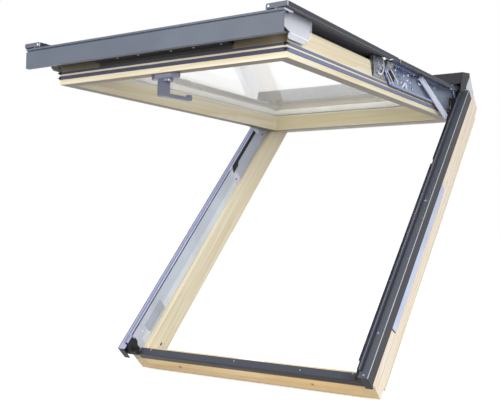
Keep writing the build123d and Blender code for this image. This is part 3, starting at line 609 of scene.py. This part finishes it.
# Looks and soft edges of the CAD pieces
LOOKS = {
    "frame_bottom_rail": pine_gold,
    "frame_top_rail": pine_head,
    "sash_bottom_rail": pine_cross,
    "sash_top_rail": pine_cross,
    "frame_bottom_cladding": sill_paint,
    "left_jamb_cladding": jamb_paint_left,
    "right_jamb_cladding": jamb_paint_right,
    "top_hood": dark,
    "sash_fascia": dark_front,
    "sash_top_cladding": dark,
    "vent_strip": plastic,
    "sash_room_gasket": rubber,
    "sash_outer_gasket": rubber,
    "inner_pane": clear,
    "outer_pane": clear,
    "pane_spacer": spacer_grey,
    "handle_base": silver,
    "handle_lever": silver,
}
SIDE_LOOKS = {
    "jamb": pine_jamb,
    "sash_stile": pine_sash,
    "lower_cladding": sash_paint,
    "upper_cladding": sash_paint,
    "end_plate": plate_paint,
    "hood_side": plate_paint,
    "hood_cap": plastic,
    "corner_plug": plastic,
    "guide_rail": aluminium,
    "guide_shoe": shoe_grey,
    "slide_bar": seal_black,
    "side_strip": blue_strip,
    "frame_bracket": zinc,
    "hinge_arm": arm_zinc,
    "strut": strut_metal,
    "pivot_leaf": leaf_grey,
}
for piece_name, look in SIDE_LOOKS.items():
    LOOKS["left_" + piece_name] = look
    LOOKS["right_" + piece_name] = look

TIMBER_EDGE = 0.0012
ROLLED_EDGE = 0.0013
SHEET_EDGE = 0.0008
METAL_EDGE = 0.0004
SMALL_EDGE = 0.0003
SOFT_EDGES = {
    pine_jamb: TIMBER_EDGE,
    pine_sash: TIMBER_EDGE,
    pine_cross: TIMBER_EDGE,
    pine_gold: TIMBER_EDGE,
    jamb_paint_right: ROLLED_EDGE,
    sash_paint: SHEET_EDGE,
}
WELD_DISTANCE = 0.00002
SHARP_ANGLE = math.radians(40)


def soften(piece, width):
    edge = piece.modifiers.new("edge", "BEVEL")
    edge.width = width
    edge.segments = 2
    edge.limit_method = "ANGLE"
    edge.angle_limit = SHARP_ANGLE
    edge.use_clamp_overlap = True


for piece_name, look in LOOKS.items():
    piece = nodes[piece_name]
    piece.data.materials.clear()
    piece.data.materials.append(look)
    if look is clear:
        continue
    weld = piece.modifiers.new("weld", "WELD")
    weld.merge_threshold = WELD_DISTANCE
    soften(piece, SOFT_EDGES.get(look, METAL_EDGE))


# Small parts: outlines in two of the three directions, pushed along the third, in millimetres
SPOTS = {
    "x": lambda a, b, c: (c, a, b),
    "s": lambda a, b, c: (a, c, b),
    "n": lambda a, b, c: (a, b, c),
}


def prism(mesh, place, axis, outline, low, high, look=0):
    """An outline pushed along x, s (up the frame or sash) or n (out of it)."""
    spot = SPOTS[axis]
    near = [mesh.verts.new(place(spot(a, b, low))) for a, b in outline]
    far = [mesh.verts.new(place(spot(a, b, high))) for a, b in outline]
    faces = [mesh.faces.new(near), mesh.faces.new(far[::-1])]
    for i in range(len(outline)):
        j = (i + 1) % len(outline)
        faces.append(mesh.faces.new((near[j], near[i], far[i], far[j])))
    for face in faces:
        face.material_index = look


def prisms(mesh, place, axis, side, rows):
    """Prisms on one side, from rows of outline, low, high and look given for the right side."""
    for outline, low, high, look in rows:
        if axis == "x":
            prism(mesh, place, axis, outline, side * low, side * high, look)
        else:
            prism(mesh, place, axis, [(side * a, b) for a, b in outline], low, high, look)


def ribbon(path, width):
    """The outline of a strip of even width along a path."""
    left, right = [], []
    for i, (a, b) in enumerate(path):
        before = path[max(i - 1, 0)]
        after = path[min(i + 1, len(path) - 1)]
        da, db = after[0] - before[0], after[1] - before[1]
        run = math.hypot(da, db)
        off = (-db / run * width / 2, da / run * width / 2)
        left.append((a + off[0], b + off[1]))
        right.append((a - off[0], b - off[1]))
    return left + right[::-1]


def oval(middle, half_long, half_wide, count=14):
    steps = [2 * math.pi * i / count for i in range(count)]
    return [
        (middle[0] + half_long * math.cos(t), middle[1] + half_wide * math.sin(t)) for t in steps
    ]


def rectangle(low_a, high_a, low_b, high_b):
    return [(low_a, low_b), (high_a, low_b), (high_a, high_b), (low_a, high_b)]


# Screw head: rings as shares of the radius, outwards from the foot, and the recess in it
HEAD_RINGS = ((1.0, 0.0), (1.0, 0.22), (0.82, 0.42), (0.45, 0.52))
RECESS_ARM = 0.10
RECESS_REACH = 0.42
RECESS_FROM = 0.45
RECESS_TO = 0.56


def screw(mesh, place, axis, at, foot, side, radius, head=0, recess=1):
    """A pan head on a foot level, standing out to one side (1 or -1), with a cross recess."""
    spot = SPOTS[axis]
    rings = []
    for share, rise in HEAD_RINGS:
        level = foot + side * rise * radius
        around = oval(at, radius * share, radius * share)
        rings.append([mesh.verts.new(place(spot(a, b, level))) for a, b in around])
    count = len(rings[0])
    for low_ring, high_ring in zip(rings, rings[1:]):
        for i in range(count):
            j = (i + 1) % count
            corners = (low_ring[i], low_ring[j], high_ring[j], high_ring[i])
            mesh.faces.new(corners).material_index = head
    mesh.faces.new(rings[0]).material_index = head
    mesh.faces.new(rings[-1]).material_index = head
    w, r = radius * RECESS_ARM, radius * RECESS_REACH
    cross = [(w, w), (r, w), (r, -w), (w, -w), (w, -r), (-w, -r)]
    cross += [(-w, -w), (-r, -w), (-r, w), (-w, w), (-w, r), (w, r)]
    outline = [(at[0] + a, at[1] + b) for a, b in cross]
    low, high = foot + side * radius * RECESS_FROM, foot + side * radius * RECESS_TO
    prism(mesh, place, axis, outline, low, high, recess)


def finished(name, mesh, looks, body, edge_width=SMALL_EDGE):
    bmesh.ops.recalc_face_normals(mesh, faces=mesh.faces)
    data = bpy.data.meshes.new(name)
    mesh.to_mesh(data)
    mesh.free()
    for look in looks:
        data.materials.append(look)
    piece = bpy.data.objects.new(name, data)
    bpy.context.scene.collection.objects.link(piece)
    if edge_width:
        soften(piece, edge_width)
    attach(piece, body)
    return piece


# Small parts of the fixed frame
def cladding_roll(side, prefix):
    """Rolled edge of the jamb cladding, with a painted highlight line on its crown; the left roll
    is painted lilac as light.
    """
    roll = [
        (368.2, 18.1), (368.3, 26.4), (371.6, 27.9), (375.6, 28.6),
        (378.2, 27.6), (379.7, 24.0), (379.6, 18.1),
    ]
    line = [(374.2, 28.2), (374.3, 28.9), (376.9, 28.9), (377.0, 28.0)]
    mesh = bmesh.new()
    prisms(mesh, from_frame, "s", side, [(roll, -5.0, 1094.0, 0), (line, -4.5, 1093.0, 1)])
    # The left roll takes the painted light, and each crown a painted highlight line.
    looks = [roll_painted_light if side < 0 else roll_navy, roll_crown_highlight]
    finished(prefix + "cladding_roll", mesh, looks, "frame", 0.0006)


def guide_trim(side, prefix):
    """Guide: plate over the head part, clips, screws and the flanges' pale strips."""
    face = 365.0
    head = [(789.0, 1.5), (812.0, 15.5), (1074.0, 15.5), (1074.0, 1.5)]
    clip = [(744.0, 2.0), (768.0, 1.0), (776.0, -8.0)]
    clip += [(778.0, -32.0), (756.0, -34.0), (744.0, -22.0)]
    foot_clip = [(26.0, 3.0), (26.0, 26.0), (60.0, 26.0), (60.0, 3.0)]
    rows = [(head, 365.3, 364.7, 0), (clip, face, 364.2, 1), (foot_clip, face, 364.5, 1)]
    for at in ((59.0, 0.0), (77.5, -28.0)):
        rows.append((oval(at, 3.4, 2.4), face, 363.8, 2))
    mesh = bmesh.new()
    prisms(mesh, from_frame, "x", side, rows)
    for at in ((755.0, -17.3), (1002.5, -17.4)):
        screw(mesh, from_frame, "x", at, side * 364.4, -side, 3.4, 3, 3)
    spans = ((42.0, 77.0), (179.0, 741.0))
    flanges = [(rectangle(*span, -37.0, -14.0), 365.1, 364.7, 4) for span in spans]
    prisms(mesh, from_frame, "x", side, flanges)
    looks = [aluminium, pale_clip, bright_metal, seal_black, guide_pale]
    finished(prefix + "guide_trim", mesh, looks, "frame")


def jamb_slot(side, prefix):
    """Jamb: slot for the fitting near the foot, with a bright ring round it as a painted highlight,
    and the mark under the outer strip.
    """
    middle = (75.4, -82.5)
    rows = [
        # Painted highlight: a bright ring round the slot.
        (oval(middle, 6.6, 4.2), 350.1, 349.5, 0),
        (oval(middle, 5.8, 3.5), 349.6, 349.3, 1),
        (ribbon([(170.0, -32.5), (178.0, -61.0)], 2.4), 389.9, 391.8, 1),
    ]
    mesh = bmesh.new()
    prisms(mesh, from_frame, "x", side, rows)
    finished(prefix + "jamb_slot", mesh, [bright_metal, seal_black], "frame")


def cladding_screws(side, prefix):
    """Screws of the jamb claddings, and the one that shows at the right foot."""
    sheet = 18.0
    mesh = bmesh.new()
    for x, s in ((385.5, 598.7), (385.5, 115.4)):
        screw(mesh, from_frame, "n", (side * x, s), sheet, 1, 2.8)
    if side > 0:
        screw(mesh, from_frame, "n", (386.5, -12.8), sheet, 1, 2.6)
    looks = [screw_grey, seal_black]
    finished(prefix + "cladding_screws", mesh, looks, "frame", 0)


def head_corner_shade(side, prefix):
    """Dark block on the head rail's corner, which paints the shade in the gap there."""
    seal = [(318.0, -62.0), (349.6, -62.0), (349.6, -3.0), (330.0, -3.0)]
    mesh = bmesh.new()
    prisms(mesh, from_frame, "s", side, [(seal, 1132.6, 1134.2, 0)])
    finished(prefix + "head_corner_shade", mesh, [seal_black], "frame")


def bracket_edge(side, prefix):
    """Bright edge of the hinge bracket, which stays with the frame. Its points are the sash's."""
    edge = ribbon([(1078.0, 88.0), (1096.0, 84.0), (1099.0, 70.0), (1090.0, 52.0)], 6.0)
    mesh = bmesh.new()
    prisms(mesh, from_sash, "x", side, [(edge, 357.1, 357.9, 0)])
    finished(prefix + "bracket_edge", mesh, [bright_metal], "frame")


# Small parts of the sash
def fold_highlight(side, prefix):
    """End plate: painted highlights along its fold and edge, but for the part that passes the
    corner plug.
    """
    paths = (
        ([(-72.0, 88.0), (-72.0, 64.0), (-60.0, 60.0), (-55.0, 58.5)], 3.2),
        ([(-13.0, 48.4), (66.0, 47.2)], 3.2),
        ([(81.0, 93.0), (79.5, 62.0), (70.0, 49.0)], 1.8),
    )
    mesh = bmesh.new()
    rows = [(ribbon(path, width), 359.3, 359.75, 0) for path, width in paths]
    prisms(mesh, from_sash, "x", side, rows)
    finished(prefix + "fold_highlight", mesh, [bright_metal], "sash")


def fascia_tab(side, prefix):
    """The fascia's folded tab over the end plate, and under it a black piece that paints the shadow
    in the gap.
    """
    tab = [(-80.5, 80.0), (-79.0, 83.8), (-42.0, 83.8), (-47.0, 79.6), (-73.0, 79.6)]
    gap = [(-73.0, 79.4), (-63.0, 79.4), (-63.0, 74.0), (-73.0, 74.4)]
    mesh = bmesh.new()
    prisms(mesh, from_sash, "x", side, [(tab, 381.9, 382.8, 0), (gap, 381.9, 382.3, 1)])
    finished(prefix + "fascia_tab", mesh, [pale_clip, seal_black], "sash")


def side_cover(side, prefix):
    """Lower cladding as thin folded sheet, a little wider to the front, with a closed cap."""
    inner, wall, tip = 318.0, 319.4, 390.0
    front, shoulder, corner, back = -78.0, -18.0, 30.0, 536.0
    back_x = 382.0
    notch_end = back - 30.0
    sheet_low, sheet_top, under_sheet = 96.6, 98.0, 97.4
    top = [(inner, shoulder), (338.0, shoulder), (338.0, front), (tip, front), (back_x, back)]
    top += [(354.0, back), (354.0, notch_end), (340.0, notch_end), (340.0, back), (inner, back)]
    lip = [(388.6, front), (tip, front), (back_x, back), (back_x - 1.4, back)]
    leg = [(inner, corner), (wall, corner), (wall, back), (inner, back)]
    short_leg = [(inner, shoulder), (wall, shoulder), (wall, corner), (inner, corner)]
    cap = [(336.0, 86.0), (336.5, 95.0), (340.0, sheet_top), (tip, sheet_top), (tip, 87.6)]
    cap_wall = [(336.2, front), (337.6, front), (337.6, shoulder), (336.2, shoulder)]
    step = [(inner, 86.0), (inner, under_sheet), (338.0, under_sheet), (338.0, 86.0)]
    mesh = bmesh.new()
    for axis, row in (
        ("n", (top, sheet_low, sheet_top, 0)),
        ("n", (lip, 86.5, under_sheet, 0)),
        ("n", (leg, 77.0, under_sheet, 0)),
        ("n", (short_leg, 84.6, under_sheet, 0)),
        ("s", (cap, -79.0, -77.6, 0)),
        ("n", (cap_wall, 86.0, under_sheet, 0)),
        ("s", (step, -19.4, shoulder, 0)),
    ):
        prisms(mesh, from_sash, axis, side, [row])
    cover = finished(
        prefix + "side_cover", mesh, [sash_paint], "sash", SHEET_EDGE
    )
    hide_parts(prefix + "lower_cladding")


def cap_screws(side, prefix):
    """Screws on the front and the top of the cover's cap."""
    mesh = bmesh.new()
    screw(mesh, from_sash, "s", (side * 343.0, 92.0), -79.0, -1, 2.6)
    screw(mesh, from_sash, "n", (side * 342.0, -53.0), 98.0, 1, 2.6, 1, 1)
    finished(prefix + "cap_screws", mesh, [bright_metal, seal_black], "sash", 0)


def gasket_corner(side, prefix):
    """Lips of the seals at the front corner."""
    rows = []
    for level, half in ((31.0, 4.5), (18.0, 2.6)):
        fin = [(338.0, level - half), (349.6, level), (338.0, level + half)]
        rows.append((fin, -3.8, 3.0, 0))
    mesh = bmesh.new()
    prisms(mesh, from_sash, "s", side, rows)
    finished(prefix + "gasket_corner", mesh, [seal_black], "sash")


# Small parts of the mechanism, between stile and jamb
ARM_FACE = 350.3
BLOCK_FACE = 350.4
SLOT_S, SLOT_V = 537.0, 66.0
STRUT_TOP = (765.0, 81.0)
STRUT_LEAN = math.radians(-20.7)


def friction_track(side, prefix):
    """Pivot leaf: bright curved track and the shadow at the leaf's front edge."""
    middle, radius = (484.0, 75.0), 27.0
    track = []
    for step in range(15):
        angle = math.radians(48.0 - step * 11.6)
        track.append((middle[0] + radius * math.cos(angle), middle[1] + radius * math.sin(angle)))
    rows = [
        (ribbon(track, 4.6), 349.9, 350.6, 0),
        (ribbon([(450.0, 44.0), (441.0, 94.0)], 3.2), 346.9, 347.5, 1),
    ]
    mesh = bmesh.new()
    prisms(mesh, from_sash, "x", side, rows)
    finished(prefix + "friction_track", mesh, [bright_metal, seal_black], "sash")


def pivot_block(side, prefix):
    """Pivot: bearing block with its shadow gap, and the slot of the arm with its rims."""
    block = [(533.0, 76.5), (533.0, 91.5), (566.0, 93.5), (567.0, 80.0), (561.0, 76.0)]
    gap = [(528.0, 92.5), (528.0, 95.8), (560.0, 95.8), (560.0, 93.6)]
    slot = [(0.0, 0.0), (20.0, 5.0), (60.0, -17.0), (39.0, -25.0)]
    slide = [(44.0, -18.0), (50.0, -13.0), (56.0, -17.0), (49.0, -21.0)]
    rows = [
        (block, BLOCK_FACE, 352.6, 0),
        (gap, BLOCK_FACE, 352.2, 1),
        ([(SLOT_S + a, SLOT_V + b) for a, b in slot], BLOCK_FACE, 350.8, 1),
        ([(SLOT_S + a, SLOT_V + b) for a, b in slide], 350.6, 351.1, 0),
    ]
    for path, width in (
        ([(531.0, 66.0), (577.0, 36.5)], 2.4),
        ([(556.0, 73.5), (606.0, 47.0), (604.0, 41.0)], 3.0),
        ([(520.0, 62.0), (560.0, 34.0)], 1.6),
    ):
        rows.append((ribbon(path, width), BLOCK_FACE, 351.2, 3))
    mesh = bmesh.new()
    prisms(mesh, from_sash, "x", side, rows)
    looks = [beige_block, seal_black, spacer_grey, bright_metal]
    finished(prefix + "pivot_block", mesh, looks, "arms")


def arm_clips(side, prefix):
    """Arm: slit, clips, the edge of its set-back panel, rivets and holes."""
    slit = [(759.5, 83.6), (775.0, 83.4), (792.0, 72.8), (776.0, 69.0)]
    strut_clip = ribbon([(769.0, 71.0), (776.0, 66.0), (790.0, 69.0), (794.0, 74.0)], 4.0)
    bent_clip = ribbon(
        [(640.0, 36.5), (650.0, 45.0), (664.0, 53.0), (670.0, 49.0), (671.0, 38.0)], 5.0
    )
    panel_edge = ribbon([(706.0, 76.0), (712.0, 82.5), (722.0, 84.5), (748.0, 85.0)], 2.6)
    rows = [
        (slit, ARM_FACE, 350.9, 1),
        (strut_clip, ARM_FACE, 351.8, 0),
        (bent_clip, ARM_FACE, 351.8, 0),
        (panel_edge, ARM_FACE, 350.8, 1),
    ]
    mesh = bmesh.new()
    prisms(mesh, from_sash, "x", side, rows)
    rivets = (
        ((611.0, 91.0), 3.4),
        ((590.0, 77.0), 3.0),
        ((686.0, 79.0), 3.4),
        ((680.0, 63.0), 3.0),
        ((634.0, 50.0), 3.0),
        ((653.0, 72.0), 2.6),
        ((704.0, 60.0), 2.6),
        ((912.0, 79.0), 2.6),
        ((922.0, 52.0), 2.6),
        ((731.0, 88.0), 2.6),
        ((722.0, 44.0), 2.6),
    )
    for at, radius in rivets:
        screw(mesh, from_sash, "x", at, side * BLOCK_FACE, side, radius)
    holes = (
        oval((583.0, 84.0), 6.0, 2.6),
        oval((606.0, 86.0), 4.0, 2.4),
        oval((652.0, 91.5), 6.0, 2.0),
        oval((715.0, 46.0), 4.0, 3.0),
    )
    prisms(mesh, from_sash, "x", side, [(hole, ARM_FACE, 350.7, 1) for hole in holes])
    finished(prefix + "arm_clips", mesh, [bright_metal, seal_black], "arms")


def arm_end_shade(side, prefix):
    """Black block at the hinge end of the arm, which paints the shade in the gap there."""
    pad = [(1047.0, 40.0), (1047.0, 71.0), (1066.0, 71.0), (1060.0, 44.0)]
    mesh = bmesh.new()
    prisms(mesh, from_sash, "x", side, [(pad, 348.6, 350.2, 0)])
    finished(prefix + "arm_end_shade", mesh, [seal_black], "arms")


def along_strut(far, off):
    c, k = math.cos(STRUT_LEAN), math.sin(STRUT_LEAN)
    return (STRUT_TOP[0] + far * c - off * k, STRUT_TOP[1] + far * k + off * c)


def strut_channel(side, prefix):
    """Strut: wide outer channel with three ribs, and a groove between each two."""
    face, web = 360.0, 360.8
    rib, groove = (1, 0.7), (2, 0.1)
    channel = ribbon([along_strut(6.0, 4.5), along_strut(262.0, 4.5)], 18.0)
    rows = [(channel, face, web, 0)]
    for off, wide, (look, rise) in (
        (-3.0, 2.6, rib), (1.0, 1.2, groove), (4.0, 2.6, rib), (7.5, 1.2, groove), (11.8, 2.6, rib),
    ):
        path = [along_strut(7.0, off), along_strut(261.0, off)]
        rows.append((ribbon(path, wide), 360.7, web + rise, look))
    mesh = bmesh.new()
    prisms(mesh, from_sash, "x", side, rows)
    looks = [strut_metal, bright_metal, screw_grey]
    finished(prefix + "strut_channel", mesh, looks, "struts")


for side, prefix in ((-1, "left_"), (1, "right_")):
    for build in (
        cladding_roll, guide_trim, jamb_slot, cladding_screws, fold_highlight, fascia_tab,
        side_cover, cap_screws, friction_track, pivot_block, arm_clips, arm_end_shade,
        strut_channel, head_corner_shade, bracket_edge, gasket_corner,
    ):
        build(side, prefix)


# Small parts across the window
def glazing_bead():
    """Bead of black sealant between the inner faces of the sash and the lip under the pane."""
    mesh = bmesh.new()
    for outline in (
        rectangle(-313.0, -309.5, 30.0, 1056.0),
        rectangle(309.5, 313.0, 30.0, 1056.0),
        rectangle(-309.5, 309.5, 30.0, 33.5),
        rectangle(-309.5, 309.5, 1052.5, 1056.0),
    ):
        prism(mesh, from_sash, "n", outline, 43.0, 46.1)
    finished("glazing_bead", mesh, [seal_black], "sash")


def vent_screws():
    """Small pale screws on the underside of the vent strip."""
    mesh = bmesh.new()
    for at in ((-121.0, -24.0), (-55.0, -24.5), (41.0, -19.0), (108.0, -21.0), (183.0, -18.0)):
        screw(mesh, from_sash, "n", at, 44.0, -1, 2.6)
    finished("vent_screws", mesh, [pale_clip, seal_black], "sash", 0)


def sill_screws():
    """Bottom rail: screws in its cladding and in its face."""
    mesh = bmesh.new()
    for at in ((-323.7, 16.0), (-25.8, 13.0), (183.3, 10.0), (331.7, 18.0)):
        screw(mesh, from_frame, "n", at, -30.0, 1, 2.2)
    for at in ((-384.9, -57.7), (-375.3, -81.2)):
        screw(mesh, from_frame, "s", at, 0.0, -1, 2.4)
    finished("sill_screws", mesh, [screw_grey, seal_black], "frame", 0)


def sill_inner_ledge():
    """Ledge on the inner side of the bottom rail, cut out for the closed sash's handle."""
    ledge = [(36.0, -72.4), (50.0, -72.4), (50.0, -68.0), (48.0, -66.0), (36.0, -66.0)]
    mesh = bmesh.new()
    for span in ((-349.9, -48.0), (42.0, 349.9)):
        prism(mesh, from_frame, "x", ledge, *span)
    finished("sill_inner_ledge", mesh, [pine_cross], "frame", SHEET_EDGE)


glazing_bead()
vent_screws()
sill_screws()
sill_inner_ledge()

# Camera at the photo's place
YAW = 0.56947
TILT = 0.02277
CAMERA_ROLL = 0.00358
FOCAL_PIXELS = 784.55
PHOTO_WIDTH = 500.0
SENSOR_WIDTH = 36.0
eye = Vector((1.18353, -1.83465, 0.43850))
ahead = Vector((-math.sin(YAW) * math.cos(TILT), math.cos(YAW) * math.cos(TILT), math.sin(TILT)))
level = Vector((math.cos(YAW), math.sin(YAW), 0.0))
above = level.cross(ahead)
right = math.cos(CAMERA_ROLL) * level + math.sin(CAMERA_ROLL) * above
up = -math.sin(CAMERA_ROLL) * level + math.cos(CAMERA_ROLL) * above
camera_data = bpy.data.cameras.new("camera")
camera_data.sensor_width = SENSOR_WIDTH
camera_data.lens = FOCAL_PIXELS / PHOTO_WIDTH * SENSOR_WIDTH
camera_data.clip_start = 0.05
camera = bpy.data.objects.new("camera", camera_data)
bpy.context.scene.collection.objects.link(camera)
turn = Matrix((right, up, -ahead)).transposed().to_4x4()
camera.matrix_world = Matrix.Translation(eye) @ turn
bpy.context.scene.camera = camera

# Floor, world and lamps
WORLD_LIGHT = (0.50, 0.52, 0.56)
WHITE = (1.0, 1.0, 1.0)
BLACK = (0.0, 0.0, 0.0)
FLOOR_DARK = (0.34, 0.34, 0.34)
FLOOR_LIGHT = (0.36, 0.36, 0.36)
FLOOR_SEEN = (0.80, 0.80, 0.80)
FLOOR_GLOW = 0.66
FLOOR_SIZE = 30.0
FLOOR_GAP = 0.002


def seen_as_background(tree):
    """One for camera, mirror and glass rays, nought for light that falls on the object."""
    path = node(tree, "LightPath")
    seen = max_of(tree, path.outputs["Is Camera Ray"], path.outputs["Is Glossy Ray"])
    return max_of(tree, seen, path.outputs["Is Transmission Ray"])


world = bpy.data.worlds.new("studio")
bpy.context.scene.world = world
world.use_nodes = True
tree = world.node_tree
background = tree.nodes["Background"]
colour = mix(tree, seen_as_background(tree), WORLD_LIGHT, WHITE)
tree.links.new(colour, background.inputs["Color"])
background.inputs["Strength"].default_value = 1.0

floor_level = cad_box[0].z - FLOOR_GAP
bpy.ops.mesh.primitive_plane_add(size=FLOOR_SIZE, location=(0.0, 4.0, floor_level))
floor = bpy.context.object
floor.name = "floor"
floor_look, tree, shader = new_material("pale_floor")
shader.inputs["Roughness"].default_value = 0.9
shader.inputs["Specular IOR Level"].default_value = 0.0
seen = seen_as_background(tree)
cloud = noise(tree, coordinates(tree), 3.0, 2.0)
plain = ramp(tree, cloud, [(0.3, FLOOR_DARK), (0.7, FLOOR_LIGHT)])
tree.links.new(mix(tree, seen, plain, FLOOR_SEEN), shader.inputs["Base Color"])
tree.links.new(mix(tree, seen, BLACK, WHITE), shader.inputs["Emission Color"])
shader.inputs["Emission Strength"].default_value = FLOOR_GLOW
floor.data.materials.append(floor_look)


def lamp(name, place, size, power, colour):
    """An area lamp aimed at the middle of the window."""
    data = bpy.data.lights.new(name, "AREA")
    data.size = size
    data.energy = power
    data.color = colour
    lamp_object = bpy.data.objects.new(name, data)
    bpy.context.scene.collection.objects.link(lamp_object)
    lamp_object.location = place
    aim = Vector((0.0, 0.3, 0.5)) - Vector(place)
    lamp_object.rotation_euler = aim.to_track_quat("-Z", "Y").to_euler()


lamp("key", (3.5, -2.7, 1.1), 1.8, 150.0, (1.0, 0.985, 0.96))
lamp("fill", (-1.2, -4.0, 1.3), 2.6, 95.0, (1.0, 0.99, 0.97))

bpy.context.scene.view_settings.view_transform = "Standard"
